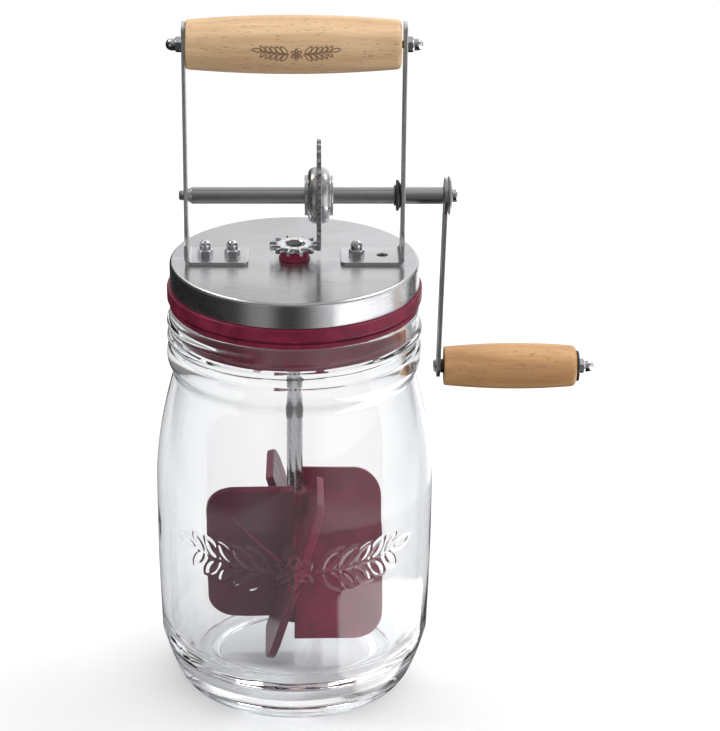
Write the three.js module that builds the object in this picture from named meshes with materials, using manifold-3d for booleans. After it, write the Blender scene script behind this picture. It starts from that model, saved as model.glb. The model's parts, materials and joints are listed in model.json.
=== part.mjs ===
// Hand-cranked glass butter churn: a wide-necked jar, a lift-off steel lid that carries a handle
// frame, and a crank whose flat gear turns a silicone paddle inside the jar.
// Millimetres, +Z up, the crank on +X, the origin on the table under the middle of the whole churn.
import * as THREE from "three";
import { mergeVertices } from "three/addons/utils/BufferGeometryUtils.js";
import Module from "manifold-3d";

const wasm = await Module();
wasm.setup();

// ---- driving dimensions ----

// Jar: a barrel-sided body, a shoulder and a straight neck.
const JAR_HEIGHT = 165;
const JAR_RADIUS = 56.8;
const GLASS = 3.8;
const NECK_RADIUS = 50.2;
const NECK_BORE = 45.3;
const FOOT_RADIUS = 46.5;
const PUSH_UP_RADIUS = 34;
const PUSH_UP = 4.5;

// Lid, seal and the bush in the middle of the lid.
const LID_TOP = 184;
const LID_RADIUS = 50;
const LID_SHEET = 1;
const SKIRT = 10.5;
const SEAL_RADIUS = 51.2;
const SEAL_LIP_RADIUS = 50.2;
const PLUG_RADIUS = 45;
const PLUG_BORE = 42;
const PLUG_BOTTOM = 153.7;
const LID_BORE = 5.5;
const BUSH_RADIUS = 5.9;
const BUSH_BOTTOM = 179;

// Handle frame: two L strips and a turned grip on a tie rod.
const STRIP = 1.5;
const FRAME_HALF = 43.7;
const STRIP_WIDTH = 10;
const FOOT_WIDTH = 18;
const FOOT_LENGTH = 25.4;
const FOOT_UPSTAND = 8.5;
const HANDLE_Z = 272.3;
const STRIP_TOP = 281;
const GRIP_RADIUS = 11.4;
const GRIP_END_RADIUS = 9.7;

// Drive: shaft across the frame, flat gear over a flat pinion.
const SHAFT_Z = 210.6;
const SHAFT_RADIUS = 3.4;
const JOURNAL_RADIUS = 2;
const GEAR_TEETH = 27;
const GEAR_TIP = 22.1;
const GEAR_ROOT = 19.4;
const GEAR_X = 8.8;
const GEAR_THICKNESS = 1.7;
const PINION_TEETH = 12;
const PINION_TIP = 10.1;
const PINION_ROOT = 6.6;
const PINION_Z = 188.4;
const PINION_THICKNESS = 2;

// Crank: an arm that is set inwards towards its lower end, and a turned grip.
const ARM_X = 59;
const ARM_THICKNESS = 1.5;
const ARM_HALF_WIDTH = 4.5;
const ARM_HEAD_RADIUS = 7;
const ARM_SET = 0.021;
const CRANK_RADIUS = 73.2;
const CRANK_GRIP_X = 60.6;
const CRANK_GRIP_LENGTH = 53.7;
const CRANK_GRIP_RADIUS = 9.3;
const SPINDLE_RADIUS = 2;
const END_WASHER = 0.9;

// Paddle: four flat blades, each turned about its own radius, on a rod.
const ROD_RADIUS = 3.3;
const BLADES = 4;
const BLADE_REACH = 36.6;
const BLADE_CHORD = 72;
const BLADE_THICKNESS = 3.2;
const BLADE_CORNER = 12;
const BLADE_PITCH = THREE.MathUtils.degToRad(17);
const PADDLE_Z = 53;
const HUB_RADIUS = 5;
const HUB_TOP = 82;
const HUB_BOTTOM = 22;
const HUB_FLOOR = 6;

// M3 fasteners, and the play between pieces.
const SCREW_RADIUS = 1.5;
const SCREW_HOLE = 1.6;
const NUT_FLATS = 5.5;
const NUT_HEX = 2.4;
const NUT_HEIGHT = 6.2;
const DOME_RADIUS = 2.4;
const RUNNING = 0.06;
const SEAT = 0.03;
const END_PLAY = 0.2;

// Segments round the jar and the lid, round every smaller piece, and in a curve of a profile
// or a plate.
const FINE = 36;
const ROUND = 20;
const PROFILE_CURVE = 3;
const PLATE_CURVE = 8;

// ---- shapes ----

// A piece turned about +Z from a profile of [radius, height] pairs or from a THREE.Path.
function turned(profile, segments = ROUND) {
  const points = Array.isArray(profile)
    ? profile.map(([radius, height]) => new THREE.Vector2(radius, height))
    : profile.getPoints(PROFILE_CURVE);
  return new THREE.LatheGeometry(points, segments).rotateX(Math.PI / 2);
}

// A ring profile is closed by ending on its first point.
function turnedRing(profile, segments = ROUND) {
  return turned([...profile, profile[0]], segments);
}

// A round bar along +Z with its lower end at z = from.
function bar(radius, from, to) {
  const cylinder = new THREE.CylinderGeometry(radius, radius, to - from, ROUND);
  return cylinder.rotateX(Math.PI / 2).translate(0, 0, (from + to) / 2);
}

function washer(radius, bore, thickness) {
  return turnedRing([[bore, 0], [radius, 0], [radius, thickness], [bore, thickness]]);
}

// A plate in XY with its lower face on z = 0.
function plate(shape, thickness) {
  const options = { depth: thickness, bevelEnabled: false, curveSegments: PLATE_CURVE };
  return new THREE.ExtrudeGeometry(shape, options);
}

// Turns a piece made along +Z so that it runs along +X; its +X side then faces down.
function alongX(geometry) {
  return geometry.rotateY(Math.PI / 2);
}

// A round hole in a plate. Its flats touch the circle, so that a bar of that radius passes.
function hole(radius, x = 0, y = 0) {
  const corners = radius / Math.cos(Math.PI / (2 * PLATE_CURVE));
  return new THREE.Path().absarc(x, y, corners, 0, 2 * Math.PI, false);
}

// A rectangle with rounded corners on the side of +x; the -x side keeps sharp corners.
function endRoundedShape(left, right, halfWidth, corner) {
  const shape = new THREE.Shape();
  shape.moveTo(left, -halfWidth);
  shape.lineTo(right - corner, -halfWidth);
  shape.absarc(right - corner, -halfWidth + corner, corner, -Math.PI / 2, 0, false);
  shape.absarc(right - corner, halfWidth - corner, corner, 0, Math.PI / 2, false);
  shape.lineTo(left, halfWidth);
  return shape;
}

// ---- joining and cutting ----

function solidOf(geometry) {
  const bare = geometry.clone();
  bare.deleteAttribute("normal");
  bare.deleteAttribute("uv");
  const merged = mergeVertices(bare, 1e-4);
  return new wasm.Manifold(
    new wasm.Mesh({
      numProp: 3,
      vertProperties: merged.attributes.position.array,
      triVerts: new Uint32Array(merged.index.array),
    }),
  );
}

function geometryOf(solid) {
  const mesh = solid.getMesh();
  const geometry = new THREE.BufferGeometry();
  geometry.setAttribute("position", new THREE.BufferAttribute(mesh.vertProperties, 3));
  geometry.setIndex(new THREE.BufferAttribute(mesh.triVerts, 1));
  geometry.computeVertexNormals();
  return geometry;
}

function joined(...pieces) {
  return geometryOf(pieces.map(solidOf).reduce((whole, piece) => whole.add(piece)));
}

function cut(blank, ...tools) {
  return geometryOf(tools.map(solidOf).reduce((whole, tool) => whole.subtract(tool), solidOf(blank)));
}

function common(blank, ...outlines) {
  return geometryOf(outlines.map(solidOf).reduce((whole, part) => whole.intersect(part), solidOf(blank)));
}

// ---- materials ----

function metal(color, roughness) {
  return new THREE.MeshStandardMaterial({ color, roughness, metalness: 1 });
}

function silicone() {
  return new THREE.MeshStandardMaterial({ color: 0x6a1f38, roughness: 0.45, metalness: 0 });
}

function beech() {
  return new THREE.MeshStandardMaterial({ color: 0xc99b6b, roughness: 0.55, metalness: 0 });
}

function clearGlass() {
  return new THREE.MeshStandardMaterial({
    color: 0xe8f0ee, roughness: 0.05, metalness: 0, transparent: true, opacity: 0.3,
  });
}

function add(parent, name, geometry, material) {
  const mesh = new THREE.Mesh(geometry, material);
  mesh.name = name;
  parent.add(mesh);
  return mesh;
}

// ---- jar ----

function jar() {
  const heel = 14;
  const shoulder = 88;
  const shoulderCurve = [104, 118];
  const neck = 136;
  const groove = NECK_RADIUS - 1;
  const bead = NECK_RADIUS + 1.4;
  const beadHeights = [139.5, 141, 144.5, 148.5, 149];
  const lip = 1.5;
  const inside = JAR_RADIUS - GLASS;
  const floor = 8.5;
  const outline = new THREE.Path();
  outline.moveTo(0, PUSH_UP);
  outline.lineTo(PUSH_UP_RADIUS - 4, PUSH_UP);
  outline.quadraticCurveTo(PUSH_UP_RADIUS, PUSH_UP, PUSH_UP_RADIUS + 0.5, 0);
  outline.lineTo(FOOT_RADIUS, 0);
  outline.quadraticCurveTo(JAR_RADIUS - 1.6, 1, JAR_RADIUS - 1.2, heel);
  outline.lineTo(JAR_RADIUS - 0.5, shoulder / 2);
  outline.lineTo(JAR_RADIUS, shoulder);
  outline.bezierCurveTo(JAR_RADIUS, shoulderCurve[0], JAR_RADIUS - 2.8, shoulderCurve[1], groove, neck);
  outline.lineTo(groove, beadHeights[0]);
  outline.quadraticCurveTo(bead, beadHeights[1], bead, beadHeights[2]);
  outline.quadraticCurveTo(bead, beadHeights[3], NECK_RADIUS, beadHeights[4]);
  outline.lineTo(NECK_RADIUS, JAR_HEIGHT - lip);
  outline.lineTo(NECK_RADIUS - lip, JAR_HEIGHT);
  outline.lineTo(NECK_BORE + lip, JAR_HEIGHT);
  outline.lineTo(NECK_BORE, JAR_HEIGHT - lip);
  outline.lineTo(NECK_BORE, neck);
  outline.bezierCurveTo(inside - 2.8, shoulderCurve[1], inside, shoulderCurve[0], inside, shoulder);
  outline.lineTo(inside - 1.2, heel + GLASS);
  outline.quadraticCurveTo(inside - 1.6, floor, FOOT_RADIUS - 4, floor);
  outline.lineTo(0, floor + 1);
  return turned(outline, FINE);
}

// ---- lid group: z = 0 is the top face of the lid ----

const BOLT_OUTER = 35.6;
const BOLT_INNER = 24.8;
const VENT_X = 35;
const VENT_RADIUS = 2.1;
const BOLTS = { left_outer: -BOLT_OUTER, left_inner: -BOLT_INNER, right_inner: BOLT_INNER };

// A drill down through the lid and a foot, and one across an upright on the given side.
function drillDown(radius, x) {
  return bar(radius, -5, 5).translate(x, 0, 0);
}

function drillAcross(radius, side, z) {
  return alongX(bar(radius, -5, 5)).translate(side * FRAME_HALF, 0, z - LID_TOP);
}

function lidCap() {
  const edge = 1.4;
  const chamfer = 0.4;
  const inner = LID_RADIUS - LID_SHEET;
  const cap = turnedRing([
    [LID_BORE, -LID_SHEET], [inner - edge, -LID_SHEET], [inner, -LID_SHEET - edge], [inner, -SKIRT],
    [LID_RADIUS, -SKIRT], [LID_RADIUS, -edge], [LID_RADIUS - chamfer, -chamfer],
    [LID_RADIUS - edge, 0], [LID_BORE, 0],
  ], FINE);
  const holes = Object.values(BOLTS).map((x) => drillDown(SCREW_HOLE, x));
  return cut(cap, ...holes, drillDown(VENT_RADIUS, VENT_X));
}

// The seal lies under the lid, sits on the rim of the glass with a lip and plugs the neck.
function lidSeal() {
  const rim = JAR_HEIGHT - LID_TOP;
  const bottom = PLUG_BOTTOM - LID_TOP;
  const top = -LID_SHEET - 0.3;
  const groove = SEAL_LIP_RADIUS - 0.8;
  const lipTop = rim + 2.2;
  const flangeBottom = lipTop + 1;
  const round = 0.6;
  const insideSkirt = LID_RADIUS - LID_SHEET - 0.1;
  return turnedRing([
    [PLUG_BORE, bottom], [PLUG_RADIUS - round, bottom], [PLUG_RADIUS, bottom + 2 * round],
    [PLUG_RADIUS, rim], [SEAL_LIP_RADIUS, rim], [SEAL_LIP_RADIUS, lipTop], [groove, lipTop],
    [groove, flangeBottom], [SEAL_RADIUS - round, flangeBottom],
    [SEAL_RADIUS, flangeBottom + round], [SEAL_RADIUS, -SKIRT - round], [SEAL_RADIUS - round, -SKIRT],
    [insideSkirt, -SKIRT], [insideSkirt, -4], [insideSkirt - 2, top], [PLUG_BORE, top],
  ], FINE);
}

// The bush grips the lid between a flange below it and a collar above it.
function rodBush() {
  const bore = ROD_RADIUS + RUNNING;
  const neck = LID_BORE - 0.1;
  const flange = BUSH_RADIUS + 1.1;
  const under = -LID_SHEET - 0.1;
  const top = PINION_Z - LID_TOP - 0.2;
  const round = 0.6;
  return turnedRing([
    [bore, BUSH_BOTTOM - LID_TOP], [flange, BUSH_BOTTOM - LID_TOP], [flange, under], [neck, under],
    [neck, 0.1], [BUSH_RADIUS, 0.1], [BUSH_RADIUS, top - round], [BUSH_RADIUS - round, top], [bore, top],
  ]);
}

// An L strip on the +X side: bent plate, cut to a wide foot and a narrow upright.
function bracket() {
  const top = STRIP_TOP - LID_TOP;
  const bend = 3;
  const profile = new THREE.Shape();
  profile.moveTo(FRAME_HALF - FOOT_LENGTH, 0);
  profile.lineTo(FRAME_HALF - bend, 0);
  profile.absarc(FRAME_HALF - bend, bend, bend, -Math.PI / 2, 0, false);
  profile.lineTo(FRAME_HALF, top);
  profile.lineTo(FRAME_HALF - STRIP, top);
  profile.lineTo(FRAME_HALF - STRIP, bend);
  profile.absarc(FRAME_HALF - bend, bend, bend - STRIP, 0, -Math.PI / 2, true);
  profile.lineTo(FRAME_HALF - FOOT_LENGTH, STRIP);
  const angle = plate(profile, FOOT_WIDTH).rotateX(Math.PI / 2).translate(0, FOOT_WIDTH / 2, 0);
  return common(angle, uprightOutline(top), footOutline(top));
}

// Side view of a bracket, as a block right through it along X. Its x runs down from the lid's top.
function uprightOutline(top) {
  const foot = FOOT_WIDTH / 2 + 1;
  const half = STRIP_WIDTH / 2;
  const corner = 3;
  const taper = 5;
  const shape = new THREE.Shape();
  shape.moveTo(1, -foot);
  shape.lineTo(-FOOT_UPSTAND, -foot);
  shape.quadraticCurveTo(-FOOT_UPSTAND - 1, -half, -FOOT_UPSTAND - taper, -half);
  shape.lineTo(corner - top, -half);
  shape.absarc(corner - top, corner - half, corner, -Math.PI / 2, -Math.PI, true);
  shape.absarc(corner - top, half - corner, corner, Math.PI, Math.PI / 2, true);
  shape.lineTo(-FOOT_UPSTAND - taper, half);
  shape.quadraticCurveTo(-FOOT_UPSTAND - 1, half, -FOOT_UPSTAND, foot);
  shape.lineTo(1, foot);
  return alongX(plate(shape, FRAME_HALF + 1));
}

// Plan view of a bracket, with rounded corners at the free end of the foot.
function footOutline(top) {
  const shape = endRoundedShape(-FRAME_HALF - 1, FOOT_LENGTH - FRAME_HALF, FOOT_WIDTH / 2, 2);
  return plate(shape, top + 2).rotateZ(Math.PI).translate(0, 0, -1);
}

function leftBracket() {
  return cut(
    bracket().rotateZ(Math.PI),
    drillDown(SCREW_HOLE, BOLTS.left_outer),
    drillDown(SCREW_HOLE, BOLTS.left_inner),
    drillAcross(JOURNAL_RADIUS + RUNNING, -1, SHAFT_Z),
    drillAcross(SCREW_HOLE, -1, HANDLE_Z),
  );
}

function rightBracket() {
  return cut(
    bracket(),
    drillDown(SCREW_HOLE, BOLTS.right_inner),
    drillDown(VENT_RADIUS, VENT_X),
    drillAcross(SHAFT_RADIUS + RUNNING, 1, SHAFT_Z),
    drillAcross(SCREW_HOLE, 1, HANDLE_Z),
  );
}

// A machine screw that stands on its head, with the seat of the head at z = 0.
function footBolt() {
  const head = 2.7;
  const crown = 1.8;
  const length = LID_SHEET + STRIP + 3.5;
  return turned([
    [0, -crown], [crown, -crown], [head, -crown / 2], [head, 0], [SCREW_RADIUS, 0],
    [SCREW_RADIUS, length], [0, length],
  ]);
}

// An acorn nut with its seat at z = 0 and a blind hole for the screw.
function acornNut() {
  const corner = NUT_FLATS / Math.sqrt(3);
  const hex = new THREE.CylinderGeometry(corner, corner, NUT_HEX, 6, 1, false, Math.PI / 6)
    .rotateX(Math.PI / 2);
  const dome = new THREE.Path();
  dome.moveTo(0, 1);
  dome.lineTo(DOME_RADIUS, 1);
  dome.lineTo(DOME_RADIUS, NUT_HEIGHT - DOME_RADIUS);
  dome.absarc(0, NUT_HEIGHT - DOME_RADIUS, DOME_RADIUS, 0, Math.PI / 2, false);
  const whole = joined(hex.translate(0, 0, NUT_HEX / 2), turned(dome));
  return cut(whole, bar(SCREW_RADIUS + SEAT, -1, NUT_HEIGHT - 1.5));
}

// Half profile of a turned grip from its lower end at z = 0, round a bore.
function gripProfile(bore, length, ends, middle, rounding) {
  const crown = 2 * middle - (ends[0] + ends[1]) / 2;
  const outline = new THREE.Path();
  outline.moveTo(bore, 0);
  outline.lineTo(ends[0] - rounding[0], 0);
  outline.quadraticCurveTo(ends[0], 0, ends[0], rounding[0]);
  outline.quadraticCurveTo(crown, length / 2, ends[1], length - rounding[1]);
  outline.quadraticCurveTo(ends[1], length, ends[1] - rounding[1], length);
  outline.lineTo(bore, length);
  outline.lineTo(bore, 0);
  return outline;
}

function handleGrip() {
  const left = -FRAME_HALF + STRIP + END_PLAY;
  const right = FRAME_HALF - STRIP - 4 * END_PLAY;
  const ends = [GRIP_END_RADIUS, GRIP_END_RADIUS];
  const profile = gripProfile(SCREW_HOLE, right - left, ends, GRIP_RADIUS, [1, 2.5]);
  return alongX(turned(profile)).translate(left, 0, HANDLE_Z - LID_TOP);
}

function lidGroup() {
  const group = new THREE.Group();
  group.position.z = LID_TOP;
  add(group, "lid_cap", lidCap(), metal(0xb9babd, 0.32));
  add(group, "lid_seal", lidSeal(), silicone());
  add(group, "rod_bush", rodBush(), silicone());
  add(group, "left_bracket", leftBracket(), metal(0xaeb0b4, 0.3));
  add(group, "right_bracket", rightBracket(), metal(0xaeb0b4, 0.3));
  for (const [name, x] of Object.entries(BOLTS)) {
    const bolt = add(group, name + "_foot_bolt", footBolt(), metal(0xa8a9ac, 0.3));
    bolt.position.set(x, 0, -LID_SHEET);
    const nut = add(group, name + "_foot_nut", acornNut(), metal(0xc4c5c8, 0.15));
    nut.position.set(x, 0, STRIP);
  }
  add(group, "handle_grip", handleGrip(), beech());
  const rodEnd = FRAME_HALF + 4;
  const tieRod = alongX(bar(SCREW_RADIUS, -rodEnd, rodEnd));
  add(group, "handle_tie_rod", tieRod, metal(0xa8a9ac, 0.3)).position.z = HANDLE_Z - LID_TOP;
  for (const side of [-1, 1]) {
    const nut = alongX(acornNut()).rotateZ(side < 0 ? Math.PI : 0);
    const name = side < 0 ? "handle_nut_left" : "handle_nut_right";
    const placed = add(group, name, nut, metal(0xc4c5c8, 0.15));
    placed.position.set(side * FRAME_HALF, 0, HANDLE_Z - LID_TOP);
  }
  return group;
}

// ---- crank group: z = 0 is the axis of the drive shaft ----

const CAP_NUT_X = CRANK_GRIP_X + CRANK_GRIP_LENGTH + END_PLAY + END_WASHER;
const WASHER_CROWN = 1.9;

// The shaft has a thin journal in the left strip and a thin nose for the arm, the washer and the nut.
function driveShaft() {
  const tip = -FRAME_HALF - 2;
  const chamfer = 0.6;
  const shoulder = -FRAME_HALF + STRIP + END_PLAY;
  const nose = ARM_X - END_PLAY;
  const end = ARM_X + 5.2;
  return alongX(turned([
    [0, tip], [JOURNAL_RADIUS - chamfer, tip], [JOURNAL_RADIUS, tip + chamfer],
    [JOURNAL_RADIUS, shoulder], [JOURNAL_RADIUS + chamfer, shoulder], [SHAFT_RADIUS, shoulder + 1.4],
    [SHAFT_RADIUS, nose], [JOURNAL_RADIUS, nose], [JOURNAL_RADIUS, end], [0, end],
  ]));
}

// A dished clip pushed on to the shaft, its cup open to the left.
function shaftClip() {
  const seat = FRAME_HALF - STRIP - END_PLAY;
  const bore = SHAFT_RADIUS + SEAT;
  const collar = SHAFT_RADIUS + 0.5;
  const dish = 6.2;
  return alongX(turnedRing([
    [bore, seat - 2.7], [collar, seat - 2.7], [collar, seat - 1], [dish, seat - 1.8],
    [dish, seat - 1], [collar + 0.4, seat], [bore, seat],
  ]));
}

// A flat toothed plate in XY. phase turns the first tooth away from +X.
function toothedPlate(teeth, tip, root, widths, phase, bore, thickness) {
  const pitchStep = (2 * Math.PI) / teeth;
  const flank = [[root, widths[0]], [(root + tip) / 2, widths[1]], [tip, widths[2]]];
  const shape = new THREE.Shape();
  const points = [];
  for (let tooth = 0; tooth < teeth; tooth += 1) {
    const middle = tooth * pitchStep + phase;
    const rising = flank.map(([radius, width]) => [radius, middle - width / 2 / radius]);
    const falling = flank.map(([radius, width]) => [radius, middle + width / 2 / radius]).reverse();
    points.push(...rising, ...falling);
  }
  shape.setFromPoints(
    points.map(([radius, angle]) => new THREE.Vector2(radius * Math.cos(angle), radius * Math.sin(angle))),
  );
  shape.holes.push(hole(bore));
  return plate(shape, thickness);
}

function driveGear() {
  const widths = [2.9, 2.1, 1.4];
  const bore = SHAFT_RADIUS + SEAT;
  const gear = toothedPlate(GEAR_TEETH, GEAR_TIP, GEAR_ROOT, widths, 0, bore, GEAR_THICKNESS);
  return alongX(gear).translate(GEAR_X, 0, 0);
}

// A hub cup with its wide seat at z = 0, a domed wall and a small raised end.
function hubCup() {
  const bore = SHAFT_RADIUS + SEAT;
  const rim = 11.3;
  const crown = [9, 3.4];
  const end = [8, 4.8];
  const outline = new THREE.Path();
  outline.moveTo(bore, 0);
  outline.lineTo(rim, 0);
  outline.quadraticCurveTo(rim - 0.3, crown[1] - 0.6, crown[0], crown[1]);
  outline.lineTo(end[0], crown[1]);
  outline.lineTo(end[0], end[1]);
  outline.lineTo(bore, end[1]);
  outline.lineTo(bore, 0);
  return alongX(turned(outline));
}

function crankArm() {
  const join = Math.asin(ARM_HALF_WIDTH / ARM_HEAD_RADIUS);
  const shape = new THREE.Shape();
  shape.moveTo(ARM_HEAD_RADIUS * Math.cos(join), ARM_HALF_WIDTH);
  shape.lineTo(CRANK_RADIUS, ARM_HALF_WIDTH);
  shape.absarc(CRANK_RADIUS, 0, ARM_HALF_WIDTH, Math.PI / 2, -Math.PI / 2, true);
  shape.lineTo(ARM_HEAD_RADIUS * Math.cos(join), -ARM_HALF_WIDTH);
  shape.absarc(0, 0, ARM_HEAD_RADIUS, -join, join, true);
  shape.holes.push(hole(JOURNAL_RADIUS + SEAT), hole(SPINDLE_RADIUS + SEAT, CRANK_RADIUS, 0));
  const setInwards = new THREE.Matrix4().makeShear(0, 0, 0, 0, ARM_SET, 0);
  return alongX(plate(shape, ARM_THICKNESS)).applyMatrix4(setInwards).translate(ARM_X, 0, 0);
}

function domeWasher() {
  const bore = JOURNAL_RADIUS + SEAT;
  const rim = 7.6;
  const seat = 0.4;
  return alongX(turnedRing([
    [bore, seat], [rim - 1, seat], [rim, seat / 2], [rim, 2 * seat], [5.5, 1.5],
    [3, WASHER_CROWN], [bore, WASHER_CROWN],
  ]));
}

function crankNut() {
  const bore = JOURNAL_RADIUS + SEAT;
  const radius = 2.6;
  const height = 2.1;
  const round = 0.4;
  return alongX(turnedRing([
    [bore, 0], [radius, 0], [radius, height - round], [radius - round, height], [bore, height],
  ]));
}

// The spindle is riveted to the inner face of the arm and threaded at its outer end.
function crankSpindle() {
  const head = ARM_X - ARM_SET * CRANK_RADIUS - 0.15;
  const rivet = 2.6;
  const tip = CAP_NUT_X + 4;
  return alongX(turned([
    [0, head - 1.1], [rivet - 0.7, head - 1.1], [rivet, head - 0.5], [rivet, head],
    [SPINDLE_RADIUS, head], [SPINDLE_RADIUS, CAP_NUT_X], [SCREW_RADIUS, CAP_NUT_X],
    [SCREW_RADIUS, tip], [0, tip],
  ]));
}

function crankGrip() {
  const bore = SPINDLE_RADIUS + RUNNING;
  const profile = gripProfile(bore, CRANK_GRIP_LENGTH, [7.9, 8.4], CRANK_GRIP_RADIUS, [0.6, 2.6]);
  return alongX(turned(profile)).translate(CRANK_GRIP_X, 0, 0);
}

function crankGroup() {
  const group = new THREE.Group();
  group.position.z = SHAFT_Z;
  add(group, "drive_shaft", driveShaft(), metal(0x9a9ba0, 0.25));
  add(group, "shaft_clip", shaftClip(), metal(0x4a4b50, 0.4));
  add(group, "drive_gear", driveGear(), metal(0x8d8f94, 0.35));
  const leftCup = add(group, "gear_hub_left", hubCup().rotateZ(Math.PI), metal(0xa9abb0, 0.2));
  leftCup.position.x = GEAR_X;
  const rightCup = add(group, "gear_hub_right", hubCup(), metal(0xa9abb0, 0.2));
  rightCup.position.x = GEAR_X + GEAR_THICKNESS;
  add(group, "crank_arm", crankArm(), metal(0x9b9ca1, 0.3));
  const outerFace = ARM_X + ARM_THICKNESS;
  add(group, "crank_dome_washer", domeWasher(), metal(0xb4b5ba, 0.25)).position.x = outerFace;
  add(group, "crank_nut", crankNut(), metal(0xc0c1c5, 0.2)).position.x = outerFace + WASHER_CROWN;

  const lower = new THREE.Group();
  lower.position.z = -CRANK_RADIUS;
  group.add(lower);
  add(lower, "crank_spindle", crankSpindle(), metal(0x9b9ca1, 0.3));
  const spacer = alongX(washer(2.8, SPINDLE_RADIUS + SEAT, 1.2));
  add(lower, "crank_inner_washer", spacer, metal(0x3c3a3c, 0.5)).position.x = CRANK_GRIP_X - 1.3;
  const disc = alongX(washer(6.2, SPINDLE_RADIUS + SEAT, END_WASHER));
  add(lower, "crank_outer_washer", disc, metal(0x4b4038, 0.5)).position.x = CAP_NUT_X - END_WASHER;
  add(lower, "crank_cap_nut", alongX(acornNut()), metal(0xc4c5c8, 0.15)).position.x = CAP_NUT_X;
  add(lower, "crank_grip", crankGrip(), beech());
  return group;
}

// ---- rotor: turns about the jar's axis ----

function pinion() {
  const widths = [2.7, 1.8, 1.3];
  const halfPitch = Math.PI / PINION_TEETH;
  const bore = ROD_RADIUS + SEAT;
  return toothedPlate(PINION_TEETH, PINION_TIP, PINION_ROOT, widths, halfPitch, bore, PINION_THICKNESS);
}

function paddleRod() {
  const bottom = HUB_BOTTOM + HUB_FLOOR;
  const chamfer = 0.4;
  const top = PINION_Z + PINION_THICKNESS + chamfer;
  return turned([
    [0, bottom], [ROD_RADIUS, bottom], [ROD_RADIUS, top - chamfer], [ROD_RADIUS - chamfer, top], [0, top],
  ]);
}

// One blade towards +X, turned about its own radius so that its top leans back.
function blade() {
  const shape = endRoundedShape(0, BLADE_REACH, BLADE_CHORD / 2, BLADE_CORNER);
  return plate(shape, BLADE_THICKNESS)
    .translate(0, 0, -BLADE_THICKNESS / 2)
    .rotateX(Math.PI / 2 - BLADE_PITCH)
    .translate(0, 0, PADDLE_Z);
}

function paddle() {
  const blades = [];
  for (let number = 0; number < BLADES; number += 1) {
    blades.push(blade().rotateZ((number * 2 * Math.PI) / BLADES));
  }
  const hub = bar(HUB_RADIUS, HUB_BOTTOM, HUB_TOP);
  return cut(joined(hub, ...blades), bar(ROD_RADIUS + SEAT, HUB_BOTTOM + HUB_FLOOR - 0.1, HUB_TOP + 20));
}

function rotorGroup() {
  const group = new THREE.Group();
  add(group, "pinion", pinion(), metal(0xbfc0c4, 0.25)).position.z = PINION_Z;
  add(group, "paddle_rod", paddleRod(), metal(0xb5b6ba, 0.12));
  const clip = add(group, "rod_clip", washer(5, ROD_RADIUS + SEAT, 0.8), metal(0x77787c, 0.3));
  clip.position.z = BUSH_BOTTOM - 1;
  add(group, "paddle", paddle(), silicone());
  return group;
}

// ---- the whole churn ----

// Every group is made round the jar's axis; the churn is then centred between the left side of the
// jar and the tip of the crank's cap nut.
const churn = new THREE.Group();
add(churn, "jar", jar(), clearGlass());
churn.add(lidGroup(), crankGroup(), rotorGroup());
churn.position.x = (JAR_RADIUS - CAP_NUT_X - NUT_HEIGHT) / 2;

export default churn;
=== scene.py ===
"""Looks for a hand-cranked glass butter churn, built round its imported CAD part.

Lengths inside a piece are in millimetres, in the piece's own frame; piece() sets it in the row frame,
which is in metres. The jar stands on z = 0, the front is -Y and the crank is on +X.
"""

import json
import math

import bmesh
import bpy
import numpy as np
from mathutils import Matrix, Vector


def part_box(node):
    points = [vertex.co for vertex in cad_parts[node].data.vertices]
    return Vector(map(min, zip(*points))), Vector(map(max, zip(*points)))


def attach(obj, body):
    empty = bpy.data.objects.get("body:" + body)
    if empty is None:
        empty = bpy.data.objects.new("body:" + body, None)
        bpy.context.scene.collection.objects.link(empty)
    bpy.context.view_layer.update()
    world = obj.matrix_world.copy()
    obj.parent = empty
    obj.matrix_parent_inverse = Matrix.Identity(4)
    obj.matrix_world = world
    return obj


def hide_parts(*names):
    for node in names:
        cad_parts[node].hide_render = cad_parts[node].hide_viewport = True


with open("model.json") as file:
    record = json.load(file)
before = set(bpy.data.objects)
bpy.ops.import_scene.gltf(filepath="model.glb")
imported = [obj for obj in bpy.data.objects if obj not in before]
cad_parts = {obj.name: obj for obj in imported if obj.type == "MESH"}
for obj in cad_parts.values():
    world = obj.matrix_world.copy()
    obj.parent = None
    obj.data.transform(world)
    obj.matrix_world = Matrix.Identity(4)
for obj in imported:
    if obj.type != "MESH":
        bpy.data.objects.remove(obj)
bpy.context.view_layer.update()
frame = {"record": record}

MM = 0.001
FULL_TURN = 2 * math.pi
RECORD = frame["record"]
BODY_OF = {node: body for body, nodes in RECORD["behaviour"]["bodies"].items() for node in nodes}


# ---- the frame's measures, in millimetres ----

def low(node):
    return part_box(node)[0] / MM


def high(node):
    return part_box(node)[1] / MM


def middle(node):
    return (low(node) + high(node)) / 2


def extent(node):
    return high(node) - low(node)


JAR_X = middle("jar").x
JAR_HEIGHT = high("jar").z
JAR_RADIUS = extent("jar").y / 2
LID_TOP = high("lid_cap").z
LID_RADIUS = extent("lid_cap").y / 2
SHAFT_Z = middle("drive_shaft").z
SHAFT_RADIUS = extent("drive_shaft").z / 2
ROD_RADIUS = extent("paddle_rod").y / 2

# The strips' thickness, the gaps round turning and fixed pieces, and the radii of journals and screws.
STRIP = 1.5
PLAY = 0.06
FIT = 0.03
JOURNAL = 2.0
SCREW = 1.5
SCREW_HOLE = SCREW + 0.1

Z_UP = Matrix.Identity(4)
Z_TO_RIGHT = Matrix.Rotation(math.pi / 2, 4, "Y")
Z_TO_LEFT = Matrix.Rotation(-math.pi / 2, 4, "Y")


# ---- outlines ----

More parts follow.
